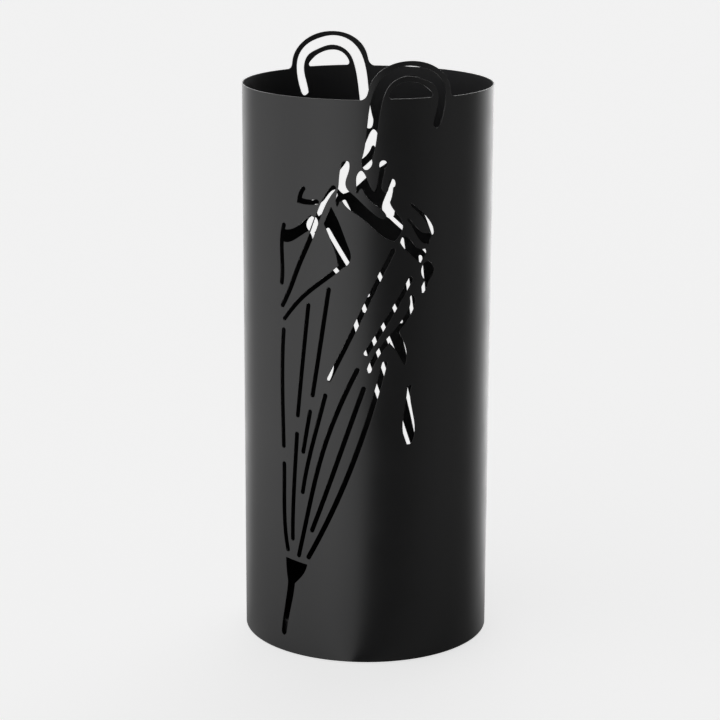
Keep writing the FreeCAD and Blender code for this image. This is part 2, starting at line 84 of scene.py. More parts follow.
class Slot(Enum):
    """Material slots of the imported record."""

    SHEET = "powder_coated_steel"
    PAN = "coated_pan"
    WELD = "coated_weld"
    PAD = "pad_rubber"
    ADHESIVE = "adhesive_foam"
    TRAY = "tray_plastic"


# ---------------------------------------------------------------- node trees

# the Mix node's factor and colour sockets, and its colour result
MIX_COLOUR_INPUTS = (0, 6, 7)
MIX_COLOUR_OUTPUT = 2
FLOAT, VECTOR, COLOUR = "NodeSocketFloat", "NodeSocketVector", "NodeSocketColor"


class Wiring:
    """Adds and links the nodes of one tree."""

    def __init__(self, tree: bpy.types.NodeTree) -> None:
        """Start on an empty tree.

        Args:
            tree: the node tree to fill.
        """
        self.tree = tree
        tree.nodes.clear()

    def feed(self, socket: bpy.types.NodeSocket, value: object) -> None:
        """Link an output socket to an input, or set the input's own value.

        Args:
            socket: the input socket.
            value: a value for it, or an output socket.
        """
        if isinstance(value, bpy.types.NodeSocket):
            self.tree.links.new(value, socket)
        else:
            socket.default_value = value

    def add(self, kind: str, inputs: dict | None = None, **settings: object) -> bpy.types.Node:
        """Add a node.

        Args:
            kind: the node's type, without its Shader prefix.
            inputs: socket name or index to a value, or to an output socket that is linked to it.
            settings: the node's own properties.

        Returns:
            The new node.
        """
        node = self.tree.nodes.new(kind if kind.startswith("Node") else "ShaderNode" + kind)
        for name, value in settings.items():
            setattr(node, name, value)
        for socket, value in (inputs or {}).items():
            self.feed(node.inputs[socket], value)
        return node

    def maths(self, operation: str, *values: object) -> bpy.types.NodeSocket:
        """Add a Math node and return its result.

        Args:
            operation: the Math node's operation.
            values: numbers or output sockets, in order.

        Returns:
            The result socket.
        """
        return self.add("Math", dict(enumerate(values)), operation=operation).outputs[0]

    def noise(self, vector: bpy.types.NodeSocket, size: object, detail: float = 2.0) -> bpy.types.NodeSocket:
        """Add a noise texture whose patches are about one size across.

        Args:
            vector: where the texture is read, in metres.
            size: patch size in metres, as a number or a socket.
            detail: octaves of finer noise.

        Returns:
            The noise value, about 0 to 1.
        """
        scale = 1.0 / size if isinstance(size, float) else self.maths("DIVIDE", 1.0, size)
        return self.add("TexNoise", {"Vector": vector, "Scale": scale, "Detail": detail}).outputs["Fac"]

    def spread(self, value: object, low: object, high: object, to_low: object = 0.0,
               to_high: object = 1.0) -> bpy.types.NodeSocket:
        """Map a value from one range to another, clamped.

        Args:
            value: the value to map.
            low: start of its range.
            high: end of its range.
            to_low: result at the start.
            to_high: result at the end.

        Returns:
            The mapped value.
        """
        return self.add("MapRange", {0: value, 1: low, 2: high, 3: to_low, 4: to_high}).outputs[0]

    def blend(self, factor: object, first: object, second: object) -> bpy.types.NodeSocket:
        """Mix two colours.

        Args:
            factor: share of the second colour.
            first: a colour or socket.
            second: a colour or socket.

        Returns:
            The mixed colour.
        """
        node = self.add("Mix", data_type="RGBA")
        for number, value in zip(MIX_COLOUR_INPUTS, (factor, first, second)):
            self.feed(node.inputs[number], value)
        return node.outputs[MIX_COLOUR_OUTPUT]


class Effect(Enum):
    """Shared shader groups."""

    GRAIN = "coating_grain"
    WEAR = "edge_wear"
    DUST = "settled_dust"
    SURROUND = "studio_surround"


def start_group(effect: Effect, inputs: Sequence[tuple[str, str, float | None]],
                outputs: Sequence[tuple[str, str]]) -> tuple[Wiring, bpy.types.Node, bpy.types.Node]:
    """Make an empty shader group with its sockets.

    Args:
        effect: which group.
        inputs: name, socket type and default of each input.
        outputs: name and socket type of each output.

    Returns:
        The wiring of the group, its input node and its output node.
    """
    tree = bpy.data.node_groups.new(effect.value, "ShaderNodeTree")
    for name, kind, default in inputs:
        socket = tree.interface.new_socket(name, in_out="INPUT", socket_type=kind)
        if default is not None:
            socket.default_value = default
    for name, kind in outputs:
        tree.interface.new_socket(name, in_out="OUTPUT", socket_type=kind)
    wiring = Wiring(tree)
    return wiring, wiring.add("NodeGroupInput"), wiring.add("NodeGroupOutput")


def place_group(wiring: Wiring, effect: Effect, inputs: dict) -> bpy.types.Node:
    """Place a shared group in a tree.

    Args:
        wiring: the tree's wiring.
        effect: which group.
        inputs: values or sockets for its inputs.

    Returns:
        The group node.
    """
    return wiring.add("Group", inputs, node_tree=bpy.data.node_groups[effect.value])



# grain's share of the relief, the rest being orange peel, and the noise values that the mottle spans
GRAIN_SHARE = 0.4
MOTTLE_RANGE = (0.3, 0.7)
# noise value where bare wear starts with no cover, how far cover lowers it, and how soft its border is
WEAR_START, WEAR_GAIN, WEAR_BORDER = 0.9, 0.7, 0.15
# how far up a face looks where dust starts to lie and where it lies fully; then the noise values that its
# clouds span, and the thinnest share
DUST_SLOPE = (0.2, 0.95)
DUST_CLOUDS = (0.35, 0.7, 0.25)


def make_grain_group() -> None:
    """Fine grain over a softer orange peel, and a slow mottle."""
    wiring, given, result = start_group(
        Effect.GRAIN,
        (("Grain Size", FLOAT, 0.4 * MM), ("Peel Size", FLOAT, 2.0 * MM), ("Mottle Size", FLOAT, 40.0 * MM)),
        (("Height", FLOAT), ("Mottle", FLOAT)))
    place = wiring.add("TexCoord").outputs["Object"]
    grain = wiring.noise(place, given.outputs["Grain Size"], 1.0)
    peel = wiring.noise(place, given.outputs["Peel Size"], 0.5)
    mottle = wiring.noise(place, given.outputs["Mottle Size"], 4.0)
    height = wiring.maths("MULTIPLY_ADD", grain, GRAIN_SHARE, wiring.maths("MULTIPLY", peel, 1 - GRAIN_SHARE))
    wiring.tree.links.new(height, result.inputs["Height"])
    wiring.tree.links.new(wiring.spread(mottle, *MOTTLE_RANGE), result.inputs["Mottle"])


def make_wear_group() -> None:
    """Where a handled edge is rubbed: an edge mask, broken up by noise."""
    wiring, given, result = start_group(
        Effect.WEAR, (("Edge", FLOAT, 0.0), ("Patch Size", FLOAT, 6.0 * MM), ("Cover", FLOAT, 0.5)),
        (("Mask", FLOAT),))
    place = wiring.add("TexCoord").outputs["Object"]
    patches = wiring.noise(place, given.outputs["Patch Size"], 5.0)
    start = wiring.maths("SUBTRACT", WEAR_START, wiring.maths("MULTIPLY", given.outputs["Cover"], WEAR_GAIN))
    rubbed = wiring.spread(patches, start, wiring.maths("ADD", start, WEAR_BORDER))
    wiring.tree.links.new(wiring.maths("MULTIPLY", rubbed, given.outputs["Edge"]), result.inputs["Mask"])


def make_dust_group() -> None:
    """A thin film of dust that lies on faces that look up, thicker in clouds."""
    wiring, given, result = start_group(
        Effect.DUST, (("Amount", FLOAT, 0.2), ("Cloud Size", FLOAT, 30.0 * MM)), (("Mask", FLOAT),))
    place = wiring.add("TexCoord").outputs["Object"]
    upward = wiring.add("SeparateXYZ", {0: wiring.add("NewGeometry").outputs["Normal"]}).outputs["Z"]
    clouds = wiring.spread(wiring.noise(place, given.outputs["Cloud Size"], 6.0), *DUST_CLOUDS)
    lies = wiring.maths("MULTIPLY", wiring.spread(upward, *DUST_SLOPE), clouds)
    wiring.tree.links.new(wiring.maths("MULTIPLY", lies, given.outputs["Amount"]), result.inputs["Mask"])


# ---------------------------------------------------------------- finishes

COOL_TINT = 1.06
DUST_COLOUR = (0.16, 0.15, 0.135, 1.0)
# how strongly the mottle and the rubbed edges tint the coat, and how much paler than it rubbed edges are
MOTTLE_TINT, WORN_TINT, WORN_PALER = 0.35, 0.6, 3
# roughness that dust adds and rubbing takes away
DUST_DULLS, WEAR_POLISHES = 0.4, 0.12


def paint_black(level: float) -> tuple[float, float, float, float]:
    """A near-neutral black, a breath cooler than grey."""
    return (level, level, level * COOL_TINT, 1.0)


@dataclass(frozen=True)
class Finish:
    """A dielectric finish: tone, gloss, fine relief, rubbed edges and dust.

    The tone shifts towards the pale one in the mottle. Sizes and the relief's depth are metres.
    """

    name: str
    slot: Slot
    tone: tuple[float, float, float, float]
    pale: tuple[float, float, float, float]
    roughness: tuple[float, float]
    grain_size: float
    peel_size: float
    relief: float
    specular: float = 0.5
    wear: float = 0.0
    dust: float = 0.15
    mottle_size: float = 0.04

    def material(self) -> bpy.types.Material:
        """Build the node material.

        Returns:
            The new material.
        """
        made = bpy.data.materials.new(self.name)
        made.use_nodes = True
        wiring = Wiring(made.node_tree)
        grain = place_group(wiring, Effect.GRAIN, {
            "Grain Size": self.grain_size, "Peel Size": self.peel_size, "Mottle Size": self.mottle_size})
        edge = wiring.add("Attribute", attribute_name="cut_edge").outputs["Fac"]
        worn = place_group(wiring, Effect.WEAR, {"Edge": edge, "Cover": self.wear}).outputs["Mask"]
        dusty = place_group(wiring, Effect.DUST, {"Amount": self.dust}).outputs["Mask"]

        rubbed_tone = tuple(WORN_PALER * c for c in self.pale[:3]) + (1.0,)
        mottled = wiring.maths("MULTIPLY", grain.outputs["Mottle"], MOTTLE_TINT)
        colour = wiring.blend(mottled, self.tone, self.pale)
        colour = wiring.blend(wiring.maths("MULTIPLY", worn, WORN_TINT), colour, rubbed_tone)
        colour = wiring.blend(dusty, colour, DUST_COLOUR)
        low, high = self.roughness
        rough = wiring.spread(grain.outputs["Mottle"], 0.0, 1.0, low, high)
        rough = wiring.maths("ADD", rough, wiring.maths("MULTIPLY", dusty, DUST_DULLS))
        rough = wiring.maths("SUBTRACT", rough, wiring.maths("MULTIPLY", worn, WEAR_POLISHES))
        relief = wiring.add("Bump", {
            "Height": grain.outputs["Height"], "Distance": self.relief, "Strength": 1.0})
        shader = wiring.add("BsdfPrincipled", {
            "Base Color": colour, "Roughness": rough, "Normal": relief.outputs[0],
            "Specular IOR Level": self.specular})
        wiring.add("OutputMaterial", {"Surface": shader.outputs[0]})
        return made


POWDER_COAT = Finish("satin_black_powder_coat", Slot.SHEET, paint_black(0.010), paint_black(0.016),
                     roughness=(0.28, 0.34), grain_size=0.5 * MM, peel_size=2.2 * MM, relief=0.012 * MM,
                     wear=0.45, dust=0.10)
# the inner skin's coat is a lighter copy of the outer powder coat, raised so the shaded inside of the tube
# shows more light near the rim: painted light
LIGHTENED_INNER_COAT = Finish("lightened_inner_powder_coat", Slot.SHEET, paint_black(0.030), paint_black(0.040),
                    roughness=(0.45, 0.55), grain_size=0.4 * MM, peel_size=1.4 * MM, relief=0.02 * MM,
                    specular=0.28, dust=0.10)
PAN_COAT = Finish("pan_black_powder_coat", Slot.PAN, paint_black(0.011), paint_black(0.018),
                  roughness=(0.34, 0.42), grain_size=0.5 * MM, peel_size=1.8 * MM, relief=0.015 * MM,
                  dust=0.25)
WELD_COAT = Finish("coated_weld_bead", Slot.WELD, paint_black(0.012), paint_black(0.02),
                   roughness=(0.30, 0.42), grain_size=0.3 * MM, peel_size=1.1 * MM, relief=0.03 * MM)
PAD_RUBBER = Finish("foot_pad_rubber", Slot.PAD, paint_black(0.014), paint_black(0.03),
                    roughness=(0.62, 0.78), grain_size=0.25 * MM, peel_size=0.9 * MM, relief=0.03 * MM,
                    specular=0.4, dust=0.3, mottle_size=0.008)
ADHESIVE = Finish("adhesive_foam_disc", Slot.ADHESIVE, (0.50, 0.47, 0.40, 1.0), (0.62, 0.60, 0.54, 1.0),
                  roughness=(0.75, 0.9), grain_size=0.2 * MM, peel_size=0.7 * MM, relief=0.05 * MM,
                  specular=0.3, mottle_size=0.004)
TRAY_PLASTIC = Finish("textured_tray_plastic", Slot.TRAY, paint_black(0.017), paint_black(0.026),
                      roughness=(0.42, 0.52), grain_size=0.3 * MM, peel_size=0.9 * MM, relief=0.03 * MM,
                      dust=0.3)
FINISHES = (POWDER_COAT, LIGHTENED_INNER_COAT, PAN_COAT, WELD_COAT, PAD_RUBBER, ADHESIVE, TRAY_PLASTIC)
MATERIALS: dict[str, bpy.types.Material] = {}


# ---------------------------------------------------------------- meshes

def new_piece(name: str, mesh: bpy.types.Mesh, finish: Finish, body: Body,
              replaces: Sequence[str]) -> bpy.types.Object:
    """Put a mesh in the scene as a piece of the object.

    Args:
        name: the piece's name.
        mesh: its mesh, in the frame's axes.
        finish: its finish.
        body: the body it rides on.
        replaces: CAD nodes that it stands for.

    Returns:
        The new object.
    """
    piece = bpy.data.objects.new(name, mesh)
    bpy.context.scene.collection.objects.link(piece)
    mesh.materials.append(MATERIALS[finish.name])
    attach(piece, body.value)
    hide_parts(*replaces)
    log.info("%s: %d faces in place of %s", name, len(mesh.polygons), ", ".join(replaces))
    return piece


def dress_node(name: str, finish: Finish) -> None:
    """Give a carried-over CAD node its finish.

    Args:
        name: the node.
        finish: its finish.
    """
    node = frame["nodes"][name]
    node.data.materials.clear()
    node.data.materials.append(MATERIALS[finish.name])
    log.info("%s: CAD mesh kept, finished as %s", name, finish.name)


def mesh_of(name: str, points: np.ndarray, faces: Iterable[Sequence[int]]) -> bpy.types.Mesh:
    """A smooth-shaded mesh.

    Args:
        name: the mesh's name.
        points: corner positions.
        faces: corner numbers of each face.

    Returns:
        The new mesh.
    """
    mesh = bpy.data.meshes.new(name)
    mesh.from_pydata(points.tolist(), [], [tuple(face) for face in faces])
    mesh.shade_smooth()
    return mesh


def crease(mesh: bpy.types.Mesh, degrees: float = 35.0) -> None:
    """Split the shading at sharp edges.

    Args:
        mesh: the mesh to mark.
        degrees: an edge that turns by more than this is sharp.
    """
    work = bmesh.new()
    work.from_mesh(mesh)
    for edge in work.edges:
        edge.smooth = len(edge.link_faces) == 2 and edge.calc_face_angle() < math.radians(degrees)
    work.to_mesh(mesh)
    work.free()


def soften(points: Sequence[tuple[float, float, float]], steps: int = 4) -> np.ndarray:
    """Round the corners of an open profile.

    Args:
        points: radius, height and corner radius of each corner; 0 keeps a corner sharp.
        steps: segments in each rounding.

    Returns:
        The rounded profile, one radius and height a row.
    """
    ring: list[np.ndarray] = []
    corners = [np.array(point[:2]) for point in points]
    for index, (corner, point) in enumerate(zip(corners, points)):
        if point[2] == 0 or index in (0, len(points) - 1):
            ring.append(corner)
            continue
        before = corners[index - 1] - corner
        after = corners[index + 1] - corner
        before, after = before / np.linalg.norm(before), after / np.linalg.norm(after)
        half = math.acos(float(np.clip(before @ after, -1, 1))) / 2
        reach = point[2] / math.tan(half)
        middle = corner + (before + after) / np.linalg.norm(before + after) * point[2] / math.sin(half)
        start, end = corner + before * reach - middle, corner + after * reach - middle
        turn = math.atan2(start[0] * end[1] - start[1] * end[0], start @ end)
        for step in range(steps + 1):
            angle = turn * step / steps
            cos, sin = math.cos(angle), math.sin(angle)
            ring.append(middle + (start[0] * cos - start[1] * sin, start[0] * sin + start[1] * cos))
    return np.array(ring)


def lathe(name: str, profile: np.ndarray, centre: Vector, segments: int) -> bpy.types.Mesh:
    """Turn a profile that starts and ends on the axis about a vertical line.

    Args:
        name: the mesh's name.
        profile: radius and height rows, going up the outside and back down the inside, or the reverse.
        centre: a point of the axis; its height is added to the profile's.
        segments: steps around.

    Returns:
        The closed mesh.
    """
    inner = profile[1:-1]
    turns = np.arange(segments) / segments * 2 * math.pi
    points = [(centre.x, centre.y, centre.z + profile[0][1]), (centre.x, centre.y, centre.z + profile[-1][1])]
    for angle in turns:
        points += [(centre.x + r * math.cos(angle), centre.y + r * math.sin(angle), centre.z + z)
                   for r, z in inner]
    count, faces = len(inner), []
    for turn in range(segments):
        here, there = 2 + turn * count, 2 + (turn + 1) % segments * count
        faces.append((0, there, here))
        faces.append((1, here + count - 1, there + count - 1))
        faces += [(here + i, there + i, there + i + 1, here + i + 1) for i in range(count - 1)]
    return mesh_of(name, np.array(points), faces)


def grid_mesh(name: str, rows: Sequence[np.ndarray]) -> bpy.types.Mesh:
    """A closed bar from equal closed sections, capped at both ends.

    Args:
        name: the mesh's name.
        rows: the points of each section, in the same order.

    Returns:
        The mesh.
    """
    count, faces = len(rows[0]), []
    for first in range(0, (len(rows) - 1) * count, count):
        for here, there in zip(range(count), [*range(1, count), 0]):
            faces.append((first + here, first + there, first + count + there, first + count + here))
    faces.append(tuple(range(count))[::-1])
    faces.append(tuple(range((len(rows) - 1) * count, len(rows) * count)))
    return mesh_of(name, np.concatenate(rows), faces)


# ---------------------------------------------------------------- the rolled shell

NO_LENGTH = 1e-9


@dataclass
class RolledShell:
    """The rolled sheet: the CAD outline with smooth skins and softly rounded cut edges.

    The skins' inner points stand in staggered columns, which keep clear of the cut edges.
    """

    node: str = "shell"
    rounding: float = 0.22 * MM
    longest_edge: float = 2.0 * MM
    column: float = 3.0 * MM
    row: float = 8.0 * MM
    clear: float = 1.35 * MM
    same_point: float = 0.001 * MM
    # the least square length of two summed normals, which blunts the inset of a sharp corner
    corner_limit: float = 0.8
    fold_passes: int = 12
    weld_distance: float = 1e-7
    batch: int = 1500
    radius: float = field(init=False)
    thickness: float = field(init=False)

    def build(self) -> bpy.types.Object:
        """Build and dress the shell.

        Returns:
            The shell's object.
        """
        rings = [self.even(ring) for ring in self.flat_rings()]
        insets = [self.inset(ring) for ring in rings]
        flat, triangles, edge_index = self.triangulate(insets)
        return self.roll(rings, insets, flat, triangles, edge_index)

    def flat_rings(self) -> list[np.ndarray]:
        """Unroll the outer skin's boundary.

        Returns:
            Each ring as (across, up) rows, with the steel on its left.
        """
        mesh = frame["nodes"][self.node].data
        places = np.empty(len(mesh.vertices) * 3)
        mesh.vertices.foreach_get("co", places)
        corners = np.empty(len(mesh.polygons) * 3, int)
        mesh.polygons.foreach_get("vertices", corners)
        places = places.reshape(-1, 3)
        _, first, shared = np.unique(
            np.round(places / self.same_point), axis=0, return_index=True, return_inverse=True)
        places, faces = places[first], shared.ravel()[corners].reshape(-1, 3)
        radii = np.hypot(places[:, 0], places[:, 1])
        self.radius, self.thickness = float(radii.max()), float(radii.max() - radii.min())
        outside = radii > self.radius - self.thickness / 2
        skin = faces[outside[faces].all(1)]
        edges = np.concatenate([skin[:, [0, 1]], skin[:, [1, 2]], skin[:, [2, 0]]])
        code, back = edges @ [len(places), 1], edges @ [1, len(places)]
        following = dict(edges[~np.isin(code, back)].tolist())
        rings = []
        while following:
            start, ring = next(iter(following)), []
            corner = start
            while corner in following:
                ring.append(corner)
                corner = following.pop(corner)
            points = places[ring]
            across = (np.arctan2(points[:, 1], points[:, 0]) % (2 * math.pi)) * self.radius
            rings.append(np.column_stack([across, points[:, 2]]))
        return rings

    def even(self, ring: np.ndarray) -> np.ndarray:
        """Split the ring's long edges.

        Args:
            ring: a closed ring of points.

        Returns:
            The ring with no edge over the longest allowed.
        """
        points: list[np.ndarray] = []
        for here, there in zip(ring, np.roll(ring, -1, axis=0)):
            parts = max(1, math.ceil(np.linalg.norm(there - here) / self.longest_edge))
            points += [here + (there - here) * part / parts for part in range(parts)]
        return np.array(points)

    def inset(self, ring: np.ndarray) -> np.ndarray:
        """Move a ring into the steel by the edge's rounding.

        Args:
            ring: a closed ring with the steel on its left.

        Returns:
            The moved ring, point for point; folded points are drawn together.
        """
        ahead = np.roll(ring, -1, axis=0) - ring
        ahead /= np.linalg.norm(ahead, axis=1)[:, None]
        left = np.column_stack([-ahead[:, 1], ahead[:, 0]])
        both = left + np.roll(left, 1, axis=0)
        lengths = np.maximum((both ** 2).sum(1), self.corner_limit)
        moved = ring + both * (2 / lengths)[:, None] * self.rounding
        for _ in range(self.fold_passes):
            folded = np.flatnonzero(((np.roll(moved, -1, axis=0) - moved) * ahead).sum(1) < 0)
            if not len(folded):
                break
            for index in folded:
                other = (index + 1) % len(moved)
                moved[index] = moved[other] = (moved[index] + moved[other]) / 2
        return moved

    def inside(self, points: np.ndarray, rings: Sequence[np.ndarray]) -> np.ndarray:
        """Which points lie in the steel.

        Args:
            points: the points to test.
            rings: every boundary ring.

        Returns:
            True for each point with steel around it.
        """
        starts = np.concatenate(rings)
        ends = np.concatenate([np.roll(ring, -1, axis=0) for ring in rings])
        within = np.zeros(len(points), bool)
        for first in range(0, len(points), self.batch):
            across, up = points[first:first + self.batch, 0:1], points[first:first + self.batch, 1:2]
            spans = (starts[:, 1] > up) != (ends[:, 1] > up)
            rise = np.where(ends[:, 1] == starts[:, 1], 1.0, ends[:, 1] - starts[:, 1])
            meets = starts[:, 0] + (up - starts[:, 1]) / rise * (ends[:, 0] - starts[:, 0])
            within[first:first + self.batch] = (spans & (meets > across)).sum(1) % 2 == 1
        return within

    def triangulate(self, rings: Sequence[np.ndarray]) -> tuple[np.ndarray, np.ndarray, list[np.ndarray]]:
        """Fill the flat sheet with triangles.

        Args:
            rings: the boundary rings of the flat skin.

        Returns:
            The flat points, the triangles, and for each ring the point numbers of its corners.
        """
        edge_points = np.concatenate(rings)
        tree = kdtree.KDTree(len(edge_points))
        for index, point in enumerate(edge_points):
            tree.insert((point[0], point[1], 0), index)
        tree.balance()
        low, high = edge_points.min(0), edge_points.max(0)
        columns = np.arange(low[0] + self.column / 2, high[0], self.column)
        grid = np.array([(x, z + (self.row / 2 if number % 2 else 0)) for number, x in enumerate(columns)
                         for z in np.arange(low[1] + self.row / 2, high[1], self.row)])
        far = np.array([tree.find((x, z, 0))[2] > self.clear for x, z in grid])
        grid = grid[far & self.inside(grid, rings)]

        edges, first = [], 0
        for ring in rings:
            numbers = np.arange(len(ring))
            for a, b in zip(numbers, np.roll(numbers, -1)):
                if np.linalg.norm(ring[a] - ring[b]) > NO_LENGTH:
                    edges.append((int(first + a), int(first + b)))
            first += len(ring)
        points = [Vector(point) for point in np.concatenate([edge_points, grid]).tolist()]
        flat, _, faces, sources, _, _ = geometry.delaunay_2d_cdt(
            points, edges, [], 0, self.weld_distance, True)
        flat = np.array([tuple(point) for point in flat])
        triangles = np.array(faces)
        triangles = triangles[self.inside(flat[triangles].mean(1), rings)]
        a, b, c = (flat[triangles[:, corner]] for corner in range(3))
        turned = (b[:, 0] - a[:, 0]) * (c[:, 1] - a[:, 1]) - (b[:, 1] - a[:, 1]) * (c[:, 0] - a[:, 0]) < 0
        triangles[turned] = triangles[turned][:, ::-1]
        made = np.zeros(len(points), int)
        for number, inputs in enumerate(sources):
            made[inputs] = number
        splits = np.cumsum([len(ring) for ring in rings])[:-1]
        return flat, triangles, np.split(made[:len(edge_points)], splits)

    def rolled(self, flat: np.ndarray, depth: np.ndarray | float) -> np.ndarray:
        """Lay flat points on the cylinder.

        Args:
            flat: (across, up) rows.
            depth: how far each lies under the outer skin.

        Returns:
            Positions in the frame.
        """
        angle, radius = flat[:, 0] / self.radius, self.radius - depth
        return np.column_stack([radius * np.cos(angle), radius * np.sin(angle), flat[:, 1]])

    def roll(self, rings: Sequence[np.ndarray], insets: Sequence[np.ndarray], flat: np.ndarray,
             triangles: np.ndarray, edge_index: Sequence[np.ndarray]) -> bpy.types.Object:
        """Make the solid sheet: two skins joined around every ring by a rounded edge.

        Args:
            rings: the true cut outline.
            insets: where each skin ends.
            flat: the flat skin's points.
            triangles: the flat skin's triangles.
            edge_index: the skin's point numbers along each ring.

        Returns:
            The shell's object.
        """
        size, angle = len(flat), flat[:, 0] / self.radius
        radial = np.column_stack([np.cos(angle), np.sin(angle), np.zeros(size)])
        points = [self.rolled(flat, 0.0), self.rolled(flat, self.thickness)]
        normals = [radial, -radial]
        faces = [tuple(face) for face in triangles.tolist()]
        faces += [tuple(number + size for number in face[::-1]) for face in triangles.tolist()]
        shoulder = 1 - math.sqrt(0.5)
        steps = ((shoulder * self.rounding, shoulder, 1.0), (self.rounding, 0.0, 0.0),
                 (self.thickness - self.rounding, 0.0, 0.0),
                 (self.thickness - shoulder * self.rounding, shoulder, -1.0))
        first = 2 * size
        for ring, inset, numbers in zip(rings, insets, edge_index):
            outward = ring - inset
            outward /= np.maximum(np.linalg.norm(outward, axis=1), NO_LENGTH)[:, None]
            angle = ring[:, 0] / self.radius
            radial = np.column_stack([np.cos(angle), np.sin(angle), np.zeros(len(ring))])
            across = np.column_stack([-np.sin(angle), np.cos(angle), np.zeros(len(ring))])
            outward = across * outward[:, :1] + np.array([0, 0, 1.0]) * outward[:, 1:]
            levels = [numbers]
            for depth, share, lean in steps:
                points.append(self.rolled(ring + (inset - ring) * share, depth))
                normals.append(outward + radial * lean)
                levels.append(np.arange(first, first + len(ring)))
                first += len(ring)
            levels.append(numbers + size)
            for upper, lower in zip(levels, levels[1:]):
                for a, b, c, d in zip(np.roll(upper, -1), upper, lower, np.roll(lower, -1)):
                    corners = list(dict.fromkeys((int(a), int(b), int(c), int(d))))
                    if len(corners) > 2:
                        faces.append(tuple(corners))
        mesh = mesh_of("shell_sheet", np.concatenate(points), faces)
        coat = np.zeros(len(faces), np.int32)
        coat[len(triangles):2 * len(triangles)] = 1
        mesh.polygons.foreach_set("material_index", coat)
        mask = mesh.attributes.new("cut_edge", "FLOAT", "POINT")
        mask.data.foreach_set("value", (np.arange(first) >= 2 * size).astype(np.float32))
        directions = np.concatenate(normals)
        directions /= np.maximum(np.linalg.norm(directions, axis=1), NO_LENGTH)[:, None]
        mesh.normals_split_custom_set_from_vertices(directions.tolist())
        piece = new_piece("shell_sheet", mesh, POWDER_COAT, Body.STAND, [self.node])
        # the inner skin gets the lighter copy of the coat, painted light for the shaded inside
        mesh.materials.append(MATERIALS[LIGHTENED_INNER_COAT.name])
        return piece


# ---------------------------------------------------------------- welds

def ripple(along: np.ndarray, pitch: float) -> np.ndarray:
    """Overlapping weld puddles: 1 at a puddle's crest, 0 in the crease behind it."""
    return np.abs(np.sin(along / pitch * math.pi)) ** 0.6


@dataclass
class SeamWeld:
    """The butt weld: dressed almost flush outside, with a rippled root bead inside."""

    node: str = "seam_weld"
    shell: str = "shell"
    sheet: float = 1.0 * MM
    gap: float = 1.2 * MM
    root_width: float = 3.0 * MM
    root_blend: float = 0.05 * MM
    sink: float = 0.20 * MM
    crown: float = 0.09 * MM
    # ripples outside are finer, having been dressed down; each puddle's middle lags behind its sides
    pitch: float = 1.7 * MM
    dressed_pitch: float = 0.6
    dressed_lag: float = 0.55 * MM
    root_lag: float = 0.9 * MM
    dressed_depth: float = 0.35
    root_depth: float = 0.38
    # the root bead starts above the pan and ends under the rim, each over a short taper
    pan_clear: float = 1.0 * MM
    foot_taper: float = 2.0 * MM
    rim_clear: float = 1.2 * MM
    rim_taper: float = 1.5 * MM
    step: float = 0.28 * MM

    def build(self) -> bpy.types.Object:
        """Build and dress the weld.

        Returns:
            The weld's object.
        """
        low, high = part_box(self.node)
        _, shell_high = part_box(self.shell)
        radius, inner = shell_high.x, shell_high.x - self.sheet
        rise = inner - low.x
        heights = np.append(np.arange(low.z, high.z, self.step), high.z)
        start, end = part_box("base_pan")[1].z + self.pan_clear, high.z - self.rim_clear
        taper = np.clip((heights - start) / self.foot_taper, 0, 1)
        taper *= np.clip((end - heights) / self.rim_taper, 0, 1)
        outside = np.linspace(-1, 1, 7)
        inside = np.linspace(1, -1, 11)
        rows = []
        for height, share in zip(heights, taper):
            lag = self.dressed_lag * (1 - outside ** 2)
            bump = ripple(height + lag, self.dressed_pitch * self.pitch) * self.dressed_depth
            bump += 1 - self.dressed_depth
            top = radius - self.sink + self.crown * (1 - outside ** 2) * bump
            half = self.gap / 2 + (self.root_width - self.gap) / 2 * share
            lag = self.root_lag * (1 - inside ** 2)
            wave = 1 - self.root_depth + self.root_depth * ripple(height + lag, self.pitch)
            root = inner - rise * (1 - inside ** 2) * wave * share + self.root_blend * inside ** 2
            across = np.concatenate([outside * self.gap / 2, inside * half + self.wander(height) * share])
            reach = np.concatenate([top, root])
            along = np.full(len(across), height)
            rows.append(np.column_stack([np.sqrt(reach ** 2 - across ** 2), across, along]))
        mesh = grid_mesh("seam_weld_bead", rows)
        crease(mesh, 50.0)
        return new_piece("seam_weld_bead", mesh, WELD_COAT, Body.STAND, [self.node])

    def wander(self, height: float) -> float:
        """How far the root bead strays sideways, from a slow sway and a quicker shake of the hand."""
        return 0.12 * MM * math.sin(height * 410.0) + 0.07 * MM * math.sin(height * 1130.0 + 1.0)


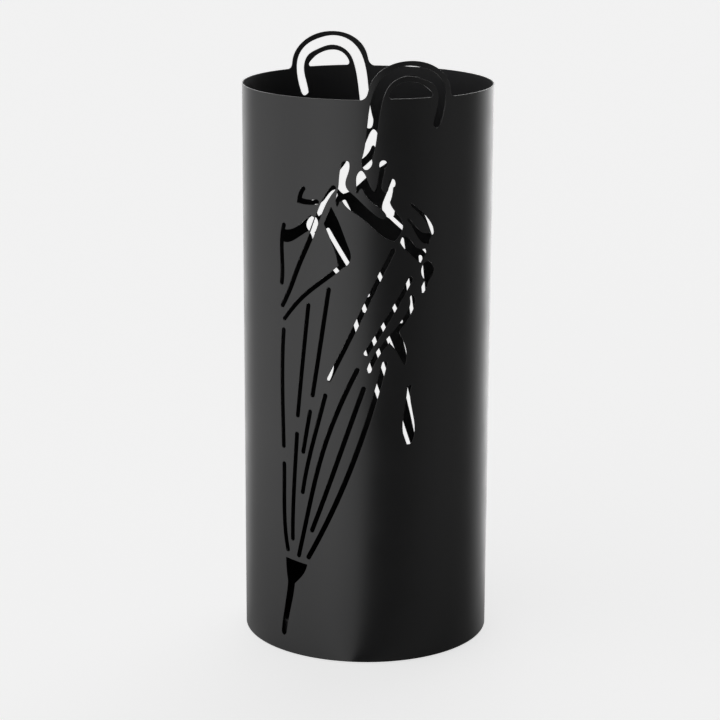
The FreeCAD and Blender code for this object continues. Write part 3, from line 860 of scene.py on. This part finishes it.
@dataclass
class TackWelds:
    """Short rippled fillet beads in the groove under the base pan."""

    node: str = "base_tack_welds"
    count: int = 6
    arc: float = math.radians(9.0)
    bulge: float = 0.5 * MM
    leg: float = 1.9 * MM
    end_rise: float = 0.6 * MM
    back_inset: float = 0.6 * MM
    lag: float = 0.5 * MM
    pitch: float = 1.6 * MM
    steps: int = 64

    def build(self) -> bpy.types.Object:
        """Build and dress the beads.

        Returns:
            The beads' object.
        """
        low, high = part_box(self.node)
        outer = high.x
        meshes = [self.bead(number, outer, low.z, high.z) for number in range(self.count)]
        work = bmesh.new()
        for mesh in meshes:
            work.from_mesh(mesh)
            bpy.data.meshes.remove(mesh)
        joined = bpy.data.meshes.new("base_tack_beads")
        work.to_mesh(joined)
        work.free()
        joined.shade_smooth()
        crease(joined, 55.0)
        return new_piece("base_tack_beads", joined, WELD_COAT, Body.STAND, [self.node])

    def bead(self, number: int, outer: float, low: float, high: float) -> bpy.types.Mesh:
        """One bead, swept around the groove with tapered ends.

        Args:
            number: which bead, counted anticlockwise from +X.
            outer: the shell's inner radius.
            low: the bead's lower edge.
            high: the bead's upper edge.

        Returns:
            The bead's mesh.
        """
        rows = []
        around = np.linspace(-1, 1, self.steps)
        face = np.linspace(0, 1, 9)
        for share in around:
            angle = 2 * math.pi * number / self.count + share * self.arc / 2
            full = (1 - abs(share) ** 4) ** 0.5 * 0.9 + 0.1
            lag = self.lag * np.sin(face * math.pi)
            wave = 0.55 + 0.45 * ripple(share * self.arc / 2 * outer + lag, self.pitch)
            swell = self.bulge * np.sin(face * math.pi) * wave * full
            reach = outer - self.leg * face * full
            drop = low + self.end_rise * (1 - full) - swell * 0.6 + 0.1 * MM * face
            back = [(outer - self.back_inset, high * 0.5 + low * 0.5), (outer, high)]
            ring = [(r, z) for r, z in zip(reach, drop)] + back
            rows.append(np.array([(r * math.cos(angle), r * math.sin(angle), z) for r, z in ring]))
        return grid_mesh(f"tack_bead_{number + 1}", rows)


# ---------------------------------------------------------------- pads and tray

@dataclass
class FootPads:
    """Four rubber pads with a rounded foot and shallow gripping rings."""

    count: int = 4
    rounding: float = 0.7 * MM
    top_rounding: float = 0.25 * MM
    ring_pitch: float = 1.9 * MM
    ring_depth: float = 0.35 * MM
    ring_width: float = 0.8 * MM
    ring_lean: float = 0.1 * MM
    ring_rounding: float = 0.08 * MM
    segments: int = 96

    def build(self) -> None:
        """Build and dress every pad, and finish its adhesive disc."""
        for number in range(1, self.count + 1):
            node = f"foot_pad_{number}"
            low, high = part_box(node)
            radius, height = (high.x - low.x) / 2, high.z - low.z
            corners = [(0.0, 0.0, 0.0)]
            groove = self.ring_pitch
            while groove + self.ring_width < radius - 2 * self.rounding:
                inner, outer = groove, groove + self.ring_width
                section = ((inner, 0.0), (inner + self.ring_lean, self.ring_depth),
                           (outer - self.ring_lean, self.ring_depth), (outer, 0.0))
                corners += [(reach, rise, self.ring_rounding) for reach, rise in section]
                groove += self.ring_pitch
            corners += [(radius, 0.0, self.rounding), (radius, height, self.top_rounding), (0.0, height, 0.0)]
            centre = Vector(((low.x + high.x) / 2, (low.y + high.y) / 2, low.z))
            mesh = lathe(f"rubber_foot_{number}", soften(corners, 3), centre, self.segments)
            crease(mesh, 40.0)
            new_piece(f"rubber_foot_{number}", mesh, PAD_RUBBER, Body.STAND, [node])
            dress_node(f"foot_adhesive_{number}", ADHESIVE)


@dataclass
class DripTray:
    """The moulded tray: a drafted dish with a flanged lip, drain ribs, finger lugs and a sunk gate mark."""

    node: str = "drip_tray"
    wall: float = 1.8 * MM
    lip: float = 1.6 * MM
    draft: float = 2.5 * MM
    rib_count: int = 8
    rib_height: float = 1.4 * MM
    rib_width: float = 2.4 * MM
    rib_start: float = 12.0 * MM
    rib_margin: float = 9.0 * MM
    rib_foot: float = 1.15
    # distance from a rib's end, and the share of its height reached there
    rib_nose: tuple[tuple[float, float], ...] = (
        (0.0, 0.35), (0.25 * MM, 0.72), (0.6 * MM, 0.93), (1.1 * MM, 1.0))
    lug_width: float = 26.0 * MM
    lug_reach: float = 11.0 * MM
    lug_corner: float = 5.0 * MM
    # height over the lug's lower face, and how far its edge is drawn in there
    lug_edge: tuple[tuple[float, float], ...] = (
        (0.0, 0.45 * MM), (0.13 * MM, 0.13 * MM), (0.45 * MM, 0.0), (1.35 * MM, 0.0),
        (1.67 * MM, 0.13 * MM), (1.8 * MM, 0.45 * MM))
    gate_radius: float = 3.0 * MM
    gate_lean: float = 0.6 * MM
    gate_depth: float = 0.35 * MM
    segments: int = 240

    def build(self) -> bpy.types.Object:
        """Build and dress the tray.

        Returns:
            The tray's object.
        """
        low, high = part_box(self.node)
        radius, height = high.x, high.z - low.z
        wall_radius = radius - self.lip
        floor_radius = wall_radius - self.draft
        underside = height - self.wall
        gate_floor = self.wall - self.gate_depth
        corners = [
            (0.0, 0.0, 0.0), (floor_radius, 0.0, 1.4 * MM), (wall_radius, underside, 0.3 * MM),
            (radius, underside, 0.5 * MM), (radius, height, 0.7 * MM),
            (wall_radius - self.wall, height, 0.9 * MM), (floor_radius - self.wall, self.wall, 1.6 * MM),
            (self.gate_radius + self.gate_lean, self.wall, 0.3 * MM),
            (self.gate_radius, gate_floor, 0.2 * MM), (0.0, gate_floor, 0.0)]
        base = Vector((0, 0, low.z))
        dish = lathe("tray_dish", soften(corners, 5), base, self.segments)
        parts = [self.rib(number, floor_radius - self.rib_margin, low.z) for number in range(self.rib_count)]
        parts += [self.lug(side, wall_radius, low.z + underside) for side in (-1, 1)]
        mesh = self.fuse(dish, parts)
        crease(mesh, 30.0)
        return new_piece("tray_moulding", mesh, TRAY_PLASTIC, Body.TRAY, [self.node])

    def rib(self, number: int, end: float, floor: float) -> bpy.types.Mesh:
        """One drain rib with a rounded back and ends.

        Args:
            number: which rib, counted anticlockwise from +X.
            end: the rib's outer end, from the axis.
            floor: the tray's underside.

        Returns:
            The rib's mesh.
        """
        angle = 2 * math.pi * number / self.rib_count
        half, top, root = self.rib_width / 2, self.wall + self.rib_height, self.wall / 2
        wide = half * self.rib_foot
        section = soften([(-wide, root, 0), (wide, root, 0), (half, top, 0.6 * MM), (-half, top, 0.6 * MM),
                          (-wide, root, 0)])[:-1]
        rows = [(self.rib_start + along, share) for along, share in self.rib_nose]
        rows += [(end - along, share) for along, share in self.rib_nose[::-1]]
        turned = []
        for reach, share in rows:
            up = root + (section[:, 1] - root) * share
            side = section[:, 0] * (0.6 + 0.4 * share)
            turned.append(np.column_stack([reach * math.cos(angle) - side * math.sin(angle),
                                           reach * math.sin(angle) + side * math.cos(angle), floor + up]))
        return grid_mesh(f"tray_rib_{number}", turned)

    def lug(self, side: int, wall_radius: float, underside: float) -> bpy.types.Mesh:
        """One finger lug: a flat tab with round corners and soft edges.

        Args:
            side: 1 for the back, -1 for the front.
            wall_radius: the tray wall's outer radius at the lip.
            underside: the lug's lower face.

        Returns:
            The lug's mesh.
        """
        half, tip = self.lug_width / 2, wall_radius - self.wall - self.lug_reach
        root = math.sqrt((wall_radius - self.wall / 2) ** 2 - half ** 2)
        plan = soften([(0, root, 0), (-half, root, 0), (-half, tip, self.lug_corner),
                       (half, tip, self.lug_corner), (half, root, 0), (0, root, 0)], 10)[:-1]
        middle = np.array([0.0, (root + tip) / 2])
        rows = []
        for level, shrink in self.lug_edge:
            scale = 1 - shrink / (middle[1] - tip)
            spread = (plan - middle) * scale + middle
            spread[plan[:, 1] == root, 1] = root
            rows.append(np.column_stack([side * spread[:, 0], side * spread[:, 1],
                                         np.full(len(plan), underside + level)]))
        return grid_mesh(f"tray_lug_{side + 2}", rows)

    def fuse(self, dish: bpy.types.Mesh, parts: Sequence[bpy.types.Mesh]) -> bpy.types.Mesh:
        """Join the dish with its ribs and lugs into one skin.

        Args:
            dish: the dish.
            parts: closed meshes that reach into it.

        Returns:
            The joined mesh.
        """
        scene = bpy.context.scene.collection
        whole = bpy.data.objects.new("tray_work", dish)
        scene.objects.link(whole)
        group = bpy.data.collections.new("tray_parts")
        for part in parts:
            thing = bpy.data.objects.new(part.name, part)
            group.objects.link(thing)
        scene.children.link(group)
        union = whole.modifiers.new("union", "BOOLEAN")
        union.operation, union.solver = "UNION", "EXACT"
        union.operand_type, union.collection = "COLLECTION", group
        graph = bpy.context.evaluated_depsgraph_get()
        joined = bpy.data.meshes.new_from_object(whole.evaluated_get(graph), depsgraph=graph)
        for thing in list(group.objects):
            bpy.data.objects.remove(thing)
        bpy.data.collections.remove(group)
        bpy.data.objects.remove(whole)
        joined.name = "tray_moulding"
        joined.materials.clear()
        return joined


# ---------------------------------------------------------------- the studio

@dataclass
class Studio:
    """Plain pale floor, soft surround and the camera."""

    floor_radius: float = 14.0
    floor_sides: int = 96
    floor_tone: float = 0.86
    lens: float = 115.94
    sensor: float = 36.0
    eye: tuple[float, float, float] = (0.04176, -1.83305, 0.70737)
    yaw: float = -0.02578
    pitch: float = 0.25779
    roll: float = 0.00401
    # added to a point of the floor before its bearing is read for the floor's painted reflection
    floor_offset: tuple[float, float, float] = (0.01, 0.095, 0.0)
    # extra brightness of the floor in the camera's own view
    floor_lift: float = 0.70
    # near and far distance from the stand, and the painted reflection's share of the surround's brightness at
    # each; the lower share near the stand is painted shade
    painted_reflection_fade: tuple[float, float, float, float] = (0.1, 0.6, 0.64, 1.0)
    # sine of the height where the surround starts to dim, where it is dimmest, and its share there
    overhead: tuple[float, float, float] = (0.2, 0.5, 0.10)
    # bearing from straight in front, positive towards +X, and brightness
    surround: tuple[tuple[float, float], ...] = (
        (-180, 2.6), (-152, 1.2), (-130, 0.50), (-95, 1.08), (-36, 1.50), (-4, 1.20), (9, 0.11), (42, 0.18),
        (63, 0.29), (82, 0.32), (101, 0.24), (116, 0.24), (134, 0.85), (150, 2.1), (180, 2.6))

    def build(self) -> None:
        """Build the floor, the surround and the camera."""
        self.make_surround_group()
        self.make_floor()
        self.make_world()
        self.make_camera()
        log.info("studio: floor, surround and camera")

    def make_surround_group(self) -> None:
        """How bright the studio is in each direction around the stand."""
        wiring, given, result = start_group(
            Effect.SURROUND, (("Direction", VECTOR, None),), (("Color", COLOUR),))
        parts = wiring.add("SeparateXYZ", {0: given.outputs["Direction"]})
        ahead = wiring.maths("MULTIPLY", parts.outputs["Y"], -1.0)
        turn = wiring.spread(wiring.maths("ARCTAN2", parts.outputs["X"], ahead), -math.pi, math.pi)
        ramp = wiring.add("ValToRGB", {0: turn})
        peak = max(level for _, level in self.surround)
        stops = ramp.color_ramp.elements
        while len(stops) < len(self.surround):
            stops.new(0.5)
        for stop, (degrees, _) in zip(stops, self.surround):
            stop.position = (degrees + 180) / 360
        for stop, (_, level) in zip(stops, self.surround):
            stop.color = (level / peak,) * 3 + (1.0,)
        low, high, share = self.overhead
        unit = wiring.add("VectorMath", {0: given.outputs["Direction"]}, operation="NORMALIZE").outputs[0]
        upward = wiring.add("SeparateXYZ", {0: unit}).outputs["Z"]
        level = wiring.maths("MULTIPLY", wiring.spread(upward, low, high, 1.0, share), peak)
        scaled = wiring.add("VectorMath", {0: ramp.outputs[0], "Scale": level}, operation="SCALE")
        wiring.tree.links.new(scaled.outputs[0], result.inputs["Color"])

    def make_floor(self) -> None:
        """A wide pale floor; to glossy rays it glows with a painted reflection of the surround, dimmed near
        the stand as painted shade.
        """
        turns = np.linspace(0, 2 * math.pi, self.floor_sides, endpoint=False)
        rim = np.column_stack([np.cos(turns), np.sin(turns), np.zeros(self.floor_sides)]) * self.floor_radius
        floor = bpy.data.objects.new("floor", mesh_of("floor", rim, [range(self.floor_sides)]))
        bpy.context.scene.collection.objects.link(floor)
        made = bpy.data.materials.new("pale_floor")
        made.use_nodes = True
        wiring = Wiring(made.node_tree)
        place = wiring.add("NewGeometry").outputs["Position"]
        paths = wiring.add("LightPath").outputs
        past = wiring.add("VectorMath", {0: place, 1: self.floor_offset}, operation="ADD")
        surround = place_group(wiring, Effect.SURROUND, {"Direction": past.outputs[0]})
        away = wiring.add("VectorMath", {0: place}, operation="LENGTH").outputs["Value"]
        # painted reflection: to glossy rays the floor glows with the surround's brightness by bearing, darker
        # near the stand as painted shade
        painted_reflection = wiring.add("Emission", {
            "Color": surround.outputs[0], "Strength": wiring.spread(away, *self.painted_reflection_fade)})
        matt = wiring.add("BsdfDiffuse", {"Color": (self.floor_tone,) * 3 + (1.0,)})
        lifted = wiring.maths("MULTIPLY", paths["Is Camera Ray"], self.floor_lift)
        lift = wiring.add("Emission", {"Color": (1.0, 1.0, 1.0, 1.0), "Strength": lifted})
        plain = wiring.add("AddShader", {0: matt.outputs[0], 1: lift.outputs[0]})
        mixed = wiring.add("MixShader", {
            0: paths["Is Glossy Ray"], 1: plain.outputs[0], 2: painted_reflection.outputs[0]})
        wiring.add("OutputMaterial", {"Surface": mixed.outputs[0]})
        floor.data.materials.append(made)

    def make_world(self) -> None:
        """White behind everything, and the surround's light on the object."""
        world = bpy.data.worlds.new("studio")
        world.use_nodes = True
        bpy.context.scene.world = world
        wiring = Wiring(world.node_tree)
        direction = wiring.add("TexCoord").outputs["Generated"]
        surround = place_group(wiring, Effect.SURROUND, {"Direction": direction})
        seen = wiring.add("LightPath").outputs["Is Camera Ray"]
        colour = wiring.blend(seen, surround.outputs[0], (1.0, 1.0, 1.0, 1.0))
        back = wiring.add("Background", {"Color": colour, "Strength": 1.0})
        wiring.add("OutputWorld", {"Surface": back.outputs[0]})
        bpy.context.scene.view_settings.view_transform = "Standard"

    def make_camera(self) -> None:
        """A long-lens view that looks down from above the rim."""
        data = bpy.data.cameras.new("camera")
        data.lens, data.sensor_width = self.lens, self.sensor
        camera = bpy.data.objects.new("camera", data)
        bpy.context.scene.collection.objects.link(camera)
        ahead = Vector((math.sin(self.yaw) * math.cos(self.pitch), math.cos(self.yaw) * math.cos(self.pitch),
                        -math.sin(self.pitch)))
        side = Vector((math.cos(self.yaw), -math.sin(self.yaw), 0))
        up = side.cross(ahead)
        right = side * math.cos(self.roll) + up * math.sin(self.roll)
        above = up * math.cos(self.roll) - side * math.sin(self.roll)
        turn = Matrix((right, above, -ahead)).transposed().to_4x4()
        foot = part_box("shell")[0].z
        camera.matrix_world = Matrix.Translation(Vector(self.eye) + Vector((0, 0, foot))) @ turn
        bpy.context.scene.camera = camera


def main() -> None:
    """Build every piece, then the studio."""
    logging.basicConfig(level=logging.INFO, format="%(name)s: %(message)s")
    make_grain_group()
    make_wear_group()
    make_dust_group()
    for finish in FINISHES:
        MATERIALS[finish.name] = finish.material()
    RolledShell().build()
    SeamWeld().build()
    TackWelds().build()
    dress_node("base_pan", PAN_COAT)
    FootPads().build()
    DripTray().build()
    Studio().build()


if __name__ == "__main__":
    main()
